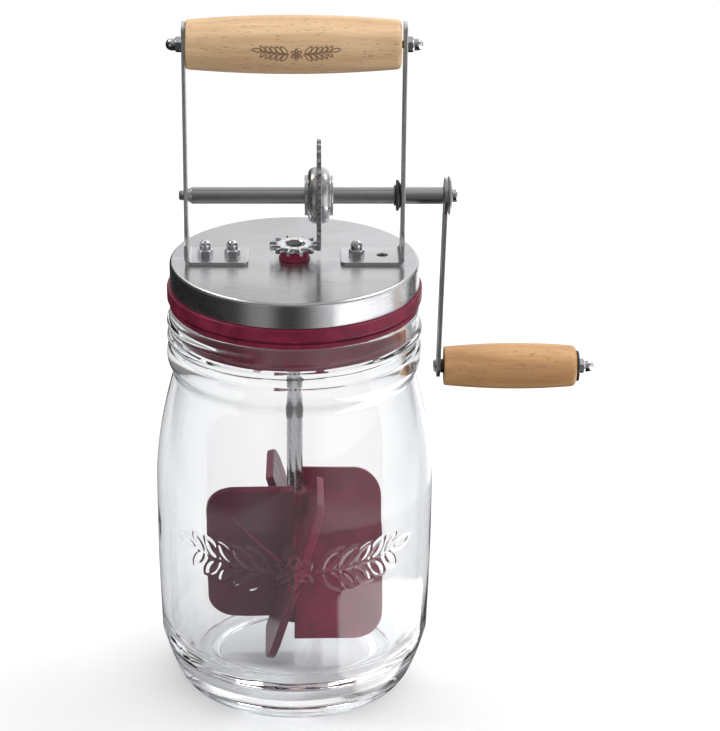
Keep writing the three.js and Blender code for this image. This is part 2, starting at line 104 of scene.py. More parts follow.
def bezier(*points, steps=12):
    """Points along a quadratic or cubic curve, without its first point."""
    order = len(points) - 1
    share = np.linspace(0, 1, steps + 1)[1:, None]
    total = 0
    for index, point in enumerate(points):
        weight = math.comb(order, index) * (1 - share) ** (order - index) * share ** index
        total = total + weight * np.array(point, float)
    return [tuple(point) for point in total]


def rounded(*corners, steps=5):
    """A closed outline whose corners (x, y, radius) are rounded off."""
    outline = []
    for index, (x, y, radius) in enumerate(corners):
        here = Vector((x, y))
        if not radius:
            outline.append((x, y))
            continue
        back = (Vector(corners[index - 1][:2]) - here).normalized()
        on = (Vector(corners[(index + 1) % len(corners)][:2]) - here).normalized()
        half = back.angle(on) / 2
        centre = here + (back + on).normalized() * radius / math.sin(half)
        start = here + back * radius / math.tan(half) - centre
        sweep = math.copysign(math.pi - 2 * half, -back.cross(on))
        for step in range(steps + 1):
            point = centre + Matrix.Rotation(sweep * step / steps, 2) @ start
            outline.append((point.x, point.y))
    return outline


def round_ended(left, right, half_width, corner, steps=8):
    """A rectangle from x = left to right, rounded off at its right end."""
    return rounded((left, -half_width, 0), (right, -half_width, corner),
                   (right, half_width, corner), (left, half_width, 0), steps=steps)


def inset(outline, distance):
    """The closed anticlockwise outline, moved inwards by a small distance."""
    points = np.array(outline, float)
    along = np.roll(points, -1, axis=0) - np.roll(points, 1, axis=0)
    along /= np.linalg.norm(along, axis=1)[:, None]
    return points + distance * np.column_stack((-along[:, 1], along[:, 0]))


def spaced(outline, step):
    """The open outline with new points; step(x, y) gives the spacing wanted near a point."""
    points = np.array(outline, float)
    run = np.concatenate(([0], np.cumsum(np.linalg.norm(np.diff(points, axis=0), axis=1))))
    stops = [0.0]
    while stops[-1] < run[-1]:
        x, y = (np.interp(stops[-1], run, points[:, axis]) for axis in (0, 1))
        stops.append(stops[-1] + step(x, y))
    stops[-1] = run[-1]
    return [(np.interp(stop, run, points[:, 0]), np.interp(stop, run, points[:, 1])) for stop in stops]


# ---- meshes ----

ROUND = np.linspace(0, FULL_TURN, 96, endpoint=False)
WIDE = np.linspace(0, FULL_TURN, 192, endpoint=False)


def skin(loops, closed=False):
    """A mesh that bridges loops of equal length. It closes on itself, or else both ends are capped."""
    count = len(loops[0])
    steps = np.arange(count)
    after = (steps + 1) % count
    faces = []
    for span in range(len(loops) if closed else len(loops) - 1):
        near = span * count
        far = ((span + 1) % len(loops)) * count
        faces += np.column_stack((near + steps, near + after, far + after, far + steps)).tolist()
    if not closed:
        faces.append(steps[::-1].tolist())
        faces.append((steps + (len(loops) - 1) * count).tolist())
    mesh = bpy.data.meshes.new("skin")
    mesh.from_pydata(np.concatenate(loops).tolist(), [], faces)
    return face_outwards(mesh)


def face_outwards(mesh):
    work = bmesh.new()
    work.from_mesh(mesh)
    bmesh.ops.recalc_face_normals(work, faces=work.faces)
    work.to_mesh(mesh)
    work.free()
    return mesh


def turned(profile, angles=ROUND, closed=True):
    """A profile of (radius, height) turned about Z."""
    loops = []
    for radius, height in profile:
        level = np.full_like(angles, height)
        loops.append(np.column_stack((radius * np.cos(angles), radius * np.sin(angles), level)))
    return skin(loops, closed)


def slab(outline, thickness, edge=0.2, steps=3, tilt=0):
    """A plate on z = 0 with rounded edges. tilt lowers it as x grows."""
    loops = []
    for side in (-1, 1):
        for step in range(steps + 1):
            angle = math.pi / 2 * (step / steps if side > 0 else 1 - step / steps)
            flat = inset(outline, edge * (1 - math.cos(angle)))
            height = thickness / 2 + side * (thickness / 2 - edge + edge * math.sin(angle))
            loops.append(np.column_stack((flat, height - tilt * flat[:, 0])))
    return skin(loops)


def mesh_object(mesh):
    made = bpy.data.objects.new(mesh.name, mesh)
    bpy.context.scene.collection.objects.link(made)
    return made


def combined(mesh, others, operation):
    """The mesh after boolean work with other meshes."""
    target = mesh_object(mesh)
    helpers = [mesh_object(other) for other in others]
    for helper in helpers:
        modifier = target.modifiers.new("boolean", "BOOLEAN")
        modifier.operation = operation
        modifier.solver = "EXACT"
        modifier.object = helper
    graph = bpy.context.evaluated_depsgraph_get()
    result = bpy.data.meshes.new_from_object(target.evaluated_get(graph), depsgraph=graph)
    for helper in [target] + helpers:
        bpy.data.objects.remove(helper)
    return result


def moved(mesh, x=0, y=0, z=0, turn=Z_UP):
    mesh.transform(Matrix.Translation((x, y, z)) @ turn)
    return mesh


def polar(mesh):
    """Every vertex, its distance from the Z axis and its angle round it from the front, towards the right."""
    points = np.array([vertex.co for vertex in mesh.vertices])
    return points, np.hypot(points[:, 0], points[:, 1]), np.arctan2(points[:, 0], -points[:, 1])


def swell(mesh, points, radius, grow):
    """Moves every vertex away from the Z axis by its own distance."""
    points[:, :2] *= (1 + grow / np.maximum(radius, 1))[:, None]
    mesh.vertices.foreach_set("co", points.ravel())
    return mesh


def drill(radius, thickness, chamfer=0.25):
    """A tool for a hole through a plate on z = 0, with chamfers at both faces."""
    wide = radius + 2 * chamfer
    far = thickness + chamfer
    profile = [(wide, -chamfer), (radius, chamfer), (radius, far - 2 * chamfer), (wide, far)]
    return turned(profile, ROUND[::2], closed=False)


def piece(node, mesh, look, x=JAR_X, y=0, z=0, turn=Z_UP, sharp=38):
    """Stands a mesh in for a CAD node, in the node's body."""
    mesh.transform(Matrix.Scale(MM, 4) @ Matrix.Translation((x, y, z)) @ turn)
    mesh.shade_smooth()
    mesh.set_sharp_from_angle(angle=math.radians(sharp))
    mesh.materials.clear()
    mesh.materials.append(look)
    made = mesh_object(mesh)
    made.name = look.name + "_" + node
    normals = made.modifiers.new("normals", "WEIGHTED_NORMAL")
    normals.keep_sharp = True
    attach(made, BODY_OF[node])
    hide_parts(node)
    return made


# ---- material nodes ----

class Nodes:
    """A node tree whose nodes are added one by one."""

    def __init__(self, owner):
        owner.use_nodes = True
        self.tree = owner.node_tree

    def add(self, kind, inputs=None, **settings):
        node = self.tree.nodes.new(kind)
        for key, value in settings.items():
            setattr(node, key, value)
        for key, value in (inputs or {}).items():
            self.set(node.inputs[key], value)
        return node

    def set(self, socket, value):
        if isinstance(value, bpy.types.NodeSocket):
            self.tree.links.new(value, socket)
        else:
            socket.default_value = value

    def math(self, operation, first, second=0.0):
        return self.add("ShaderNodeMath", {0: first, 1: second}, operation=operation).outputs[0]

    def math_vector(self, operation, first, second=(0, 0, 0), scale=1.0):
        inputs = {0: first, 1: second, 3: scale}
        return self.add("ShaderNodeVectorMath", inputs, operation=operation).outputs[0]

    def axes(self, vector):
        return self.add("ShaderNodeSeparateXYZ", {0: vector}).outputs

    def spread(self, value, from_low=0.3, from_high=0.7, to_low=0.0, to_high=1.0):
        inputs = {"Value": value, "From Min": from_low, "From Max": from_high,
                  "To Min": to_low, "To Max": to_high}
        return self.add("ShaderNodeMapRange", inputs, interpolation_type="SMOOTHSTEP").outputs["Result"]

    def mix(self, share, first, second):
        return self.add("ShaderNodeMix", {0: share, 2: first, 3: second}).outputs[0]


class Look(Nodes):
    """A material. Its place is the position in the row frame, in millimetres."""

    def __init__(self, name):
        self.material = bpy.data.materials.new(name)
        super().__init__(self.material)
        self.shader = self.tree.nodes["Principled BSDF"]
        self.output = self.tree.nodes["Material Output"]
        place = self.add("ShaderNodeTexCoord").outputs["Object"]
        self.place = self.math_vector("SCALE", place, scale=1 / MM)

    def surface(self, **values):
        for key, value in values.items():
            self.set(self.shader.inputs[key.replace("_", " ")], value)

    def noise(self, scale, detail=4, stretch=(1, 1, 1), distortion=0.0, roughness=0.5):
        """Noise from 0 to 1; scale is features per millimetre, and stretch multiplies it per axis."""
        place = self.math_vector("MULTIPLY", self.place, stretch)
        inputs = {"Vector": place, "Scale": scale, "Detail": detail, "Distortion": distortion,
                  "Roughness": roughness}
        return self.add("ShaderNodeTexNoise", inputs).outputs["Fac"]

    def blend(self, share, first, second):
        inputs = {0: share, 6: first, 7: second}
        return self.add("ShaderNodeMix", inputs, data_type="RGBA").outputs[2]

    def bump(self, height, depth, strength=1.0):
        """A bump whose height is 0 to 1 times depth in millimetres."""
        inputs = {"Height": height, "Distance": depth * MM, "Strength": strength}
        return self.add("ShaderNodeBump", inputs).outputs["Normal"]

    def painted_edge_highlight(self, share, body, colour):
        """The body colour, mixed by that share with another one on convex edges, as a painted edge highlight.
        """
        pointed = self.add("ShaderNodeNewGeometry").outputs["Pointiness"]
        edges = self.spread(pointed, 0.52, 0.6)
        return self.blend(self.math("MULTIPLY", edges, share), body, colour)

    def direction(self, axis):
        """An axis of the piece, as a direction in the world."""
        inputs = {"Vector": axis}
        settings = {"vector_type": "VECTOR", "convert_from": "OBJECT", "convert_to": "WORLD"}
        return self.add("ShaderNodeVectorTransform", inputs, **settings).outputs[0]

    def attribute(self, name):
        return self.add("ShaderNodeAttribute", attribute_name=name).outputs["Fac"]


def grey(value, tint=(1.0, 1.0, 1.0)):
    return tuple(value * share for share in tint) + (1.0,)


COOL = (0.97, 0.975, 1.0)


def brushed_steel(name, shade, grain, smear, roughness=0.28, anisotropic=0.8):
    """Steel brushed along the grain; reflections smear along smear. Both are axes of the row frame."""
    look = Look(name)
    across = [26.0, 26.0, 26.0]
    across[grain] = 0.35
    fine = look.noise(0.2, detail=8, stretch=across, roughness=0.65)
    coarse = look.noise(0.03, detail=3, stretch=across)
    clouds = look.noise(0.05, detail=3)
    streaks = look.math("MULTIPLY_ADD", fine, 0.7)
    look.set(streaks.node.inputs[2], look.math("MULTIPLY", coarse, 0.3))
    body = look.blend(look.spread(streaks), grey(shade * 0.9, COOL), grey(shade * 1.06, COOL))
    # Lighter convex edges: a painted highlight.
    body = look.painted_edge_highlight(0.6, body, grey(min(shade * 1.25, 0.9), COOL))
    rough = look.spread(streaks, 0.25, 0.75, roughness * 0.8, roughness * 1.2)
    rough = look.math("ADD", rough, look.spread(clouds, 0.35, 0.7, -0.02, 0.04))
    axis = [0.0, 0.0, 0.0]
    axis[smear] = 1.0
    look.surface(Metallic=1.0, Base_Color=body, Roughness=rough, Anisotropic=anisotropic,
                 Tangent=look.direction(axis), Normal=look.bump(streaks, 0.012))
    return look.material


def spun_steel(name, shade, roughness=0.27):
    """The lid: its top brushed along X, its skirt brushed round the jar's axis."""
    look = Look(name)
    normal = look.axes(look.add("ShaderNodeNewGeometry").outputs["Normal"])
    upright = look.spread(look.math("ABSOLUTE", normal["Z"]), 0.4, 0.8)
    top_streaks = look.noise(0.2, detail=8, stretch=(0.35, 24, 24), roughness=0.65)
    skirt_streaks = look.noise(0.2, detail=8, stretch=(0.4, 0.4, 22), roughness=0.65)
    streaks = look.mix(upright, skirt_streaks, top_streaks)
    clouds = look.noise(0.045, detail=4, stretch=(0.7, 1, 1))
    smudges = look.noise(0.16, detail=6, distortion=0.8)
    body = look.blend(look.spread(streaks), grey(shade * 0.93, COOL), grey(shade * 1.04, COOL))
    # Lighter convex edges: a painted highlight.
    body = look.painted_edge_highlight(0.5, body, grey(0.82, COOL))
    rough = look.spread(streaks, 0.25, 0.75, roughness * 0.82, roughness * 1.15)
    rough = look.math("ADD", rough, look.spread(clouds, 0.35, 0.7, -0.03, 0.03))
    rough = look.math("ADD", rough, look.spread(smudges, 0.55, 0.72, 0.0, 0.025))
    smear = look.blend(upright, (0.0, 0.0, 1.0, 0.0), (0.0, 1.0, 0.0, 0.0))
    look.surface(Metallic=1.0, Base_Color=body, Roughness=rough, Anisotropic=0.9,
                 Tangent=look.direction(smear), Normal=look.bump(streaks, 0.01))
    return look.material


def polished_steel(name="polished_steel", shade=0.72, roughness=0.1, dull_above=None):
    """Polished steel. With dull_above, its end face above that height is dark and rough."""
    look = Look(name)
    scratches = look.noise(0.8, detail=8, distortion=2.0, roughness=0.7)
    film = look.noise(0.25, detail=4)
    body = look.blend(look.spread(film, 0.35, 0.7), grey(shade * 0.94, COOL), grey(shade, COOL))
    rough = look.spread(scratches, 0.3, 0.75, roughness * 0.7, roughness * 1.7)
    # Above dull_above the end face is darker, mottled from 0.03 to 0.16 grey, and rougher.
    if dull_above is not None:
        dull = look.spread(look.axes(look.place)["Z"], dull_above - 0.1, dull_above)
        dark_end = look.blend(look.noise(1.3, detail=4), grey(0.03), grey(0.16))
        body = look.blend(dull, body, dark_end)
        rough = look.math("ADD", rough, look.math("MULTIPLY", dull, 0.3))
    look.surface(Metallic=1.0, Base_Color=body, Roughness=rough, Normal=look.bump(scratches, 0.004))
    return look.material


def dark_steel(name="dark_steel"):
    look = Look(name)
    grain = look.noise(1.2, detail=7, roughness=0.6)
    body = look.blend(look.spread(grain), grey(0.05, (1, 0.96, 0.95)), grey(0.11, COOL))
    # Lighter convex edges: a painted highlight.
    body = look.painted_edge_highlight(0.7, body, grey(0.45, COOL))
    look.surface(Metallic=0.9, Base_Color=body, Roughness=look.spread(grain, 0.3, 0.7, 0.3, 0.48),
                 Normal=look.bump(grain, 0.02))
    return look.material


def silicone(name, deep, rich, dusty=0.0, painted_left_shade=False):
    """Burgundy silicone: satin, faintly mottled, dusty in places. It can take a painted shade that tints its
    left half darker.
    """
    look = Look(name)
    mottle = look.noise(0.09, detail=5, distortion=0.6)
    grain = look.noise(3.0, detail=4)
    body = look.blend(look.spread(mottle, 0.3, 0.72), deep, rich)
    # Painted shade: left of the jar's axis the colour is darkened 80 % towards a near-black red.
    if painted_left_shade:
        left = look.spread(look.axes(look.place)["X"], JAR_X - 2, JAR_X + 2, 0.8, 0.0)
        body = look.blend(left, body, (0.055, 0.01, 0.024, 1))
    # Lighter convex edges: a painted highlight.
    body = look.painted_edge_highlight(0.55, body, (0.34, 0.045, 0.1, 1))
    specks = look.noise(1.6, detail=3, roughness=0.7)
    patches = look.spread(look.noise(0.06, detail=3), 0.5, 0.68)
    dust = look.math("MULTIPLY", look.spread(specks, 0.6, 0.72), patches)
    body = look.blend(look.math("MULTIPLY", dust, dusty), body, (0.5, 0.34, 0.36, 1))
    rough = look.spread(mottle, 0.3, 0.7, 0.28, 0.4)
    look.surface(Base_Color=body, Roughness=rough, IOR=1.42, Specular_IOR_Level=0.25,
                 Normal=look.bump(grain, 0.006))
    return look.material


def beech(name, pale, deep, burnt=False):
    """Oiled beech with its grain along X: soft bands, short dark flecks and fine pores."""
    look = Look(name)
    bands = look.noise(0.16, detail=5, stretch=(0.06, 1, 1), distortion=0.7)
    fibres = look.noise(1.5, detail=6, stretch=(0.035, 1, 1), roughness=0.6)
    fleck_place = look.math_vector("MULTIPLY", look.place, (0.3, 1.7, 1.7))
    flecks = look.add("ShaderNodeTexVoronoi", {"Vector": fleck_place, "Scale": 0.85, "Randomness": 1.0})
    fleck = look.spread(flecks.outputs["Distance"], 0.16, 0.34, 1.0, 0.0)
    chosen = look.spread(look.noise(0.55, detail=2, stretch=(0.3, 1, 1)), 0.46, 0.56)
    fleck = look.math("MULTIPLY", fleck, chosen)
    body = look.blend(look.spread(bands), pale, deep)
    dark = tuple(value * 0.72 for value in deep[:3]) + (1.0,)
    body = look.blend(look.spread(fibres, 0.45, 0.75, 0.0, 0.45), body, dark)
    body = look.blend(look.math("MULTIPLY", fleck, 0.62), body, tuple(v * 0.38 for v in deep[:3]) + (1.0,))
    # Paler convex edges: a painted highlight.
    body = look.painted_edge_highlight(0.3, body, pale)
    height = look.math("SUBTRACT", look.math("MULTIPLY", fibres, 0.4), look.math("MULTIPLY", fleck, 0.6))
    if burnt:
        burn = look.attribute("burn")
        char = look.spread(look.noise(2.5, detail=3), 0.3, 0.7, 0.72, 1.0)
        body = look.blend(look.math("MULTIPLY", burn, char), body, (0.1, 0.045, 0.022, 1))
    rough = look.spread(fibres, 0.3, 0.7, 0.42, 0.58)
    look.surface(Base_Color=body, Roughness=rough, Coat_Weight=0.12, Coat_Roughness=0.35,
                 Normal=look.bump(height, 0.05))
    return look.material


def clear_glass(name="clear_glass"):
    """Glass that lets light from the lamps through, greyer where it is seen edge-on: a painted shade."""
    look = Look(name)
    # Painted shade: the colour turns greyer where the glass is seen edge-on, varied by faint streaks along
    # the jar.
    facing = look.add("ShaderNodeLayerWeight", {"Blend": 0.5}).outputs["Facing"]
    drawn = look.noise(0.055, detail=2, stretch=(1, 1, 0.12))
    depth = look.math("ADD", facing, look.spread(drawn, 0.3, 0.7, -0.16, 0.16))
    tint = look.blend(look.spread(depth, 0.25, 1.0), (0.99, 0.995, 1.0, 1), (0.78, 0.815, 0.86, 1))
    ripples = look.noise(0.035, detail=2, stretch=(1, 1, 0.5))
    look.surface(Base_Color=tint, Roughness=0.0, IOR=1.5, Transmission_Weight=1.0,
                 Specular_IOR_Level=0.15, Normal=look.bump(ripples, 0.5, 0.35))
    clear = look.add("ShaderNodeBsdfTransparent", {"Color": (0.9, 0.91, 0.92, 1)})
    path = look.add("ShaderNodeLightPath")
    mix = look.add("ShaderNodeMixShader", {
        0: path.outputs["Is Shadow Ray"], 1: look.shader.outputs[0], 2: clear.outputs[0],
    })
    look.set(look.output.inputs["Surface"], mix.outputs[0])
    return look.material


# ---- the sprig, a plain leaf ornament pressed in the glass and burnt in the handle ----

def leaf_distance(u, v, base, angle, length, width):
    """Signed distance to a pointed leaf that starts at base."""
    along = (u - base[0]) * math.cos(angle) + (v - base[1]) * math.sin(angle) - length / 2
    across = np.abs((v - base[1]) * math.cos(angle) - (u - base[0]) * math.sin(angle))
    bow = (length ** 2 + width ** 2) / (4 * width)
    return np.hypot(along, across + bow - width / 2) - bow


def sprig(u, v, half_length, line):
    """How much of a raised line covers the points (u, v), 0 to 1: two leafy stems and a small flower."""
    def stroke(distance):
        return np.clip(1.25 - (distance / line) ** 2, 0, 1)

    side = np.abs(u)
    lift = half_length / 9
    stem_height = lift * (np.clip(side / half_length, 0, 1) ** 2 - 0.45)
    start = half_length * 0.17
    end = half_length * 0.86
    cover = stroke(v - stem_height) * (side > start) * (side < end)
    leaf_length = half_length * 0.235
    leaf_width = leaf_length * 0.4
    for number in range(5):
        reach = start + (end - start) * (number + 0.35) / 5
        base = (reach, lift * ((reach / half_length) ** 2 - 0.45))
        for slope in (-0.85, 0.85):
            shrink = 1.08 - 0.07 * number
            gap = leaf_distance(side, v, base, slope, leaf_length * shrink, leaf_width * shrink)
            cover = np.maximum(cover, stroke(gap))
    tip = leaf_distance(side, v, (end, lift * 0.3), 0.2, leaf_length, leaf_width)
    cover = np.maximum(cover, stroke(tip))
    for petal in range(6):
        angle = petal * FULL_TURN / 6 + FULL_TURN / 12
        base = (0.03 * half_length * math.cos(angle), 0.03 * half_length * math.sin(angle) - lift * 0.45)
        gap = leaf_distance(u, v, base, angle, half_length * 0.12, half_length * 0.06)
        cover = np.maximum(cover, stroke(gap))
    return cover


# ---- jar ----

FRONT = -math.pi / 2
SPRIG_Z = 74
SPRIG_HALF = 50


def jar_profile():
    """Half section of the jar, from the middle of its underside round the rim to the middle inside."""
    foot = 46.0
    push_up = 4.5
    push_up_radius = 34
    heel = 22
    shoulder = 88
    neck_z = 136
    neck = 50.2
    groove = neck - 1
    bead = neck + 1.4
    bore = 45.3
    inside = JAR_RADIUS - 3.8
    lip = 1.5
    top = JAR_HEIGHT
    floor = 8.5
    side = JAR_RADIUS
    points = [(1.5, push_up), (push_up_radius - 4, push_up)]
    points += bezier(points[-1], (push_up_radius, push_up), (push_up_radius + 0.5, 0.8))
    points += bezier(points[-1], (push_up_radius + 0.8, 0), (push_up_radius + 2, 0), steps=4)
    points += [(foot, 0)]
    points += bezier(points[-1], (side - 7, 1), (side - 1.2, heel), steps=20)
    points += bezier(points[-1], (side - 0.5, shoulder / 2), (side, shoulder / 2), (side, shoulder))
    points += bezier(points[-1], (side, 104), (side - 2.8, 118), (groove, neck_z), steps=20)
    points += bezier(points[-1], (groove, neck_z + 3.5), (bead, neck_z + 5), (bead, neck_z + 8.5))
    points += bezier(points[-1], (bead, neck_z + 12.5), (neck, neck_z + 13))
    points += [(neck, top - lip)]
    points += bezier(points[-1], (neck, top), (neck - lip, top), steps=5)
    points += [(bore + lip, top)]
    points += bezier(points[-1], (bore, top), (bore, top - lip), steps=5)
    points += [(bore, neck_z)]
    points += bezier(points[-1], (inside - 2.8, 118), (inside, 104), (inside, shoulder), steps=20)
    points += bezier(points[-1], (inside, shoulder / 2), (inside - 1.2, heel + 4), steps=6)
    points += bezier(points[-1], (inside - 9, floor - 2), (push_up_radius, floor), steps=20)
    points += [(1.5, floor + 0.8)]
    return points


def jar_mesh():
    def step(radius, height):
        outside = radius > 48.9 or (height > 20 and radius > JAR_RADIUS - 1.5)
        if outside and abs(height - SPRIG_Z) < SPRIG_HALF * 0.3:
            return 0.5
        if outside and height > 134:
            return 0.5
        if height < 14:
            return 1.2
        return 0.6 if height > 160 else 2.6

    fine = np.arange(-60, 60, 0.52)
    plain = np.arange(60, 299.5, 1.8)
    angles = np.radians(np.concatenate((fine, plain))) + FRONT
    profile = spaced(jar_profile(), step)
    mesh = turned(profile, angles, closed=False)
    points, radius, around = polar(mesh)
    height = points[:, 2]
    outer = np.repeat(np.arange(len(profile)) < np.argmax([z for _, z in profile]), len(angles))
    grow = np.where(outer, thread(around, height), 0)
    relief = sprig(around * JAR_RADIUS, height - SPRIG_Z, SPRIG_HALF, 0.75)
    grow += np.where(outer & (np.abs(around) < 1.1) & (radius > 50), 0.3 * relief, 0)
    wave = np.sin(5 * around + height / 9) + np.sin(3 * around - height / 14 + 2)
    inside_wall = ~outer & (height > 16) & (height < 130)
    fade = np.clip((height - 16) / 15, 0, 1) * np.clip((130 - height) / 20, 0, 1)
    grow += np.where(inside_wall, 0.035 * wave * fade, 0)
    return swell(mesh, points, radius, grow)


def thread(around, height):
    """The glass thread on the neck: a ridge that climbs 1.45 turns and fades at its ends."""
    pitch = 6.4
    total = np.zeros_like(height)
    for turn in (0, 1):
        run = around / FULL_TURN + 0.5 + turn
        middle_z = 150.9 + pitch * run
        fade = np.clip(run / 0.08, 0, 1) * np.clip((1.45 - run) / 0.08, 0, 1)
        total = np.maximum(total, fade * np.clip(1 - ((height - middle_z) / 1.5) ** 2, 0, 1))
    return 1.25 * np.sqrt(total)


# ---- lid ----

FOOT_NUTS = ("left_outer_foot_nut", "left_inner_foot_nut", "right_inner_foot_nut")
VENT_X = JAR_X + 35
VENT_RADIUS = 2.1


def lid_mesh():
    skirt = low("lid_cap").z - LID_TOP
    sheet = 1.0
    inner = LID_RADIUS - sheet
    bore = 5.5
    profile = rounded((bore, -sheet, 0), (inner, -sheet, 0.9), (inner, skirt, 0.25),
                      (LID_RADIUS, skirt, 0.4), (LID_RADIUS, 0, 1.5), (bore, 0, 0.2))
    holes = [moved(drill(SCREW_HOLE, sheet, 0.1), middle(nut).x - JAR_X, 0, -sheet) for nut in FOOT_NUTS]
    holes.append(moved(drill(VENT_RADIUS, sheet, 0.1), VENT_X - JAR_X, 0, -sheet))
    return combined(turned(profile, WIDE), holes, "DIFFERENCE")


def seal_mesh():
    """Flange, groove and lip outside the neck, and the plug inside it."""
    outer = extent("lid_seal").y / 2
    bottom = low("lid_seal").z
    plug = 45.0
    bore = 42.0
    lip = outer - 1.0
    groove = outer - 1.8
    lip_top = JAR_HEIGHT + 2.2
    flange_bottom = JAR_HEIGHT + 3.2
    flange_top = low("lid_cap").z
    inside_skirt = LID_RADIUS - 1.1
    under = LID_TOP - 1.3
    return turned(rounded(
        (bore, bottom, 0.6), (plug, bottom, 1.0), (plug, JAR_HEIGHT, 0.3), (lip, JAR_HEIGHT, 0.5),
        (lip, lip_top, 0.5), (groove, lip_top, 0.2), (groove, flange_bottom, 0.2),
        (outer, flange_bottom, 0.7), (outer, flange_top, 0.7), (inside_skirt, flange_top, 0.2),
        (inside_skirt, under, 1.8), (bore, under, 0.4)), WIDE)


def bush_mesh():
    radius = extent("rod_bush").x / 2
    collar = radius - 1.1
    neck = 5.4
    bottom = low("rod_bush").z
    top = high("rod_bush").z
    bore = ROD_RADIUS + PLAY
    return turned(rounded(
        (bore, bottom, 0.2), (radius, bottom, 0.5), (radius, LID_TOP - 1.1, 0.3), (neck, LID_TOP - 1.1, 0),
        (neck, LID_TOP + 0.1, 0), (collar + 0.35, LID_TOP + 0.1, 0.25), (collar + 0.35, LID_TOP + 0.9, 0.3),
        (collar, LID_TOP + 1.2, 0.2), (collar, top, 0.7), (bore, top, 0.3)))


def strip_section(half_width, inset_by=0.0):
    """The cross-section of a bracket's strip, (across, through) pairs."""
    half = half_width - inset_by
    thin = STRIP / 2 - inset_by
    corners = ((-half, -thin), (half, -thin), (half, thin), (-half, thin))
    return rounded(*(corner + (0.28,) for corner in corners), steps=3)


def bracket_mesh():
    """A strip that lies on the lid, bends up and ends in a rounded top. Its outer face is on x = 0."""
    foot_half = extent("left_bracket").y / 2
    foot_length = extent("left_bracket").x
    top = high("left_bracket").z - LID_TOP
    upright_half = 5.0
    upstand = 8.5
    bend = 3.0 - STRIP / 2
    foot_corner = 2.0
    top_corner = 3.0
    stations = []
    for drop in np.linspace(0, foot_corner, 6):
        narrow = foot_corner - math.sqrt(max(foot_corner ** 2 - (foot_corner - drop) ** 2, 0))
        stations.append((-foot_length + drop, STRIP / 2, 0, foot_half - narrow))
    for step in range(9):
        angle = math.pi / 2 * step / 8
        x = -3.0 + bend * math.sin(angle)
        z = 3.0 - bend * math.cos(angle)
        stations.append((x, z, angle, foot_half))
    stations.append((-STRIP / 2, upstand, math.pi / 2, foot_half))
    for share in np.linspace(0, 1, 9)[1:]:
        ease = math.sin(share * math.pi / 2) ** 0.8
        half = foot_half + (upright_half - foot_half) * ease
        stations.append((-STRIP / 2, upstand + 5 * share ** 1.4, math.pi / 2, half))
    for drop in np.linspace(top_corner, 0, 9):
        narrow = top_corner - math.sqrt(max(top_corner ** 2 - (top_corner - drop) ** 2, 0))
        stations.append((-STRIP / 2, top - drop, math.pi / 2, upright_half - narrow))
    loops = []
    for number, (x, z, angle, half) in enumerate(stations):
        at_end = number in (0, len(stations) - 1)
        section = np.array(strip_section(half, 0.12 if at_end else 0.0))
        loops.append(np.column_stack((
            x - math.sin(angle) * section[:, 1], section[:, 0], z + math.cos(angle) * section[:, 1])))
    return skin(loops)


def drilled_bracket(node, side, foot_holes, cross_holes):
    """A bracket with holes: (x, radius) down through the foot, (z, radius) across the upright."""
    outer = high(node).x if side > 0 else low(node).x
    mesh = bracket_mesh()
    if side < 0:
        moved(mesh, turn=Matrix.Rotation(math.pi, 4, "Z"))
    tools = [moved(drill(radius, STRIP), x - outer, 0, 0) for x, radius in foot_holes]
    for z, radius in cross_holes:
        start = -STRIP if side > 0 else 0
        tools.append(moved(drill(radius, STRIP, 0.15), start, 0, z - LID_TOP, Z_TO_RIGHT))
    return combined(mesh, tools, "DIFFERENCE"), outer


def acorn_nut():
    """An acorn nut on z = 0: a chamfered hexagon, a domed cap and a blind hole."""
    flats = 2.75
    hexagon = 2.4
    dome = 2.38
    total = 6.2
    angles = np.linspace(0, FULL_TURN, 96, endpoint=False)
    flat = flats / np.cos(angles % (math.pi / 3) - math.pi / 6)
    loops = []

    def level(radius, z):
        ring = np.broadcast_to(radius, angles.shape)
        loops.append(np.column_stack((ring * np.cos(angles), ring * np.sin(angles), np.full_like(angles, z))))

    level(SCREW - 0.3, total - 1.6)
    for turn in range(5):
        level(SCREW + 0.03, total - 1.9 - turn * 0.8)
    level(SCREW + 0.35, 0)
    for z in (0.0, 0.12, 0.24, *np.linspace(hexagon - 0.5, hexagon, 6)):
        cone = flats + 0.12 + 1.9 * z if z < 1 else flats - 0.08 + 1.2 * (hexagon - z)
        level(np.minimum(flat, cone), z)
    level(dome + 0.12, hexagon + 0.02)
    level(dome, hexagon + 0.14)
    for step in range(11):
        angle = math.pi / 2 * step / 10.5
        level(dome * math.cos(angle), total - dome + dome * math.sin(angle))
    return skin(loops)


def foot_bolt():
    """A pan-headed screw standing on its head, with a ring on the shank for each turn of thread."""
    head = 2.7
    length = high("left_inner_foot_bolt").z - LID_TOP + 1.0
    profile = [(0.5, -1.5), (1.2, -1.75), (1.9, -1.6), (2.5, -1.1)]
    profile += [(head, -0.5), (head, -0.05), (head - 0.1, 0)]
    profile += thread_profile(SCREW, 0.05, length)
    return turned(profile, ROUND[::2], closed=False)


def thread_profile(radius, start, end, pitch=0.5, depth=0.16):
    """A screw's outline from start to end, its thread as rings."""
    points = [(radius - depth, start)]
    z = start + pitch
    while z < end - pitch:
        points += [(radius - depth, z - pitch * 0.3), (radius, z - pitch * 0.1), (radius, z + pitch * 0.1)]
        z += pitch
    return points + [(radius - depth, end - pitch * 0.4), (radius - 0.4, end)]


# ---- grips ----

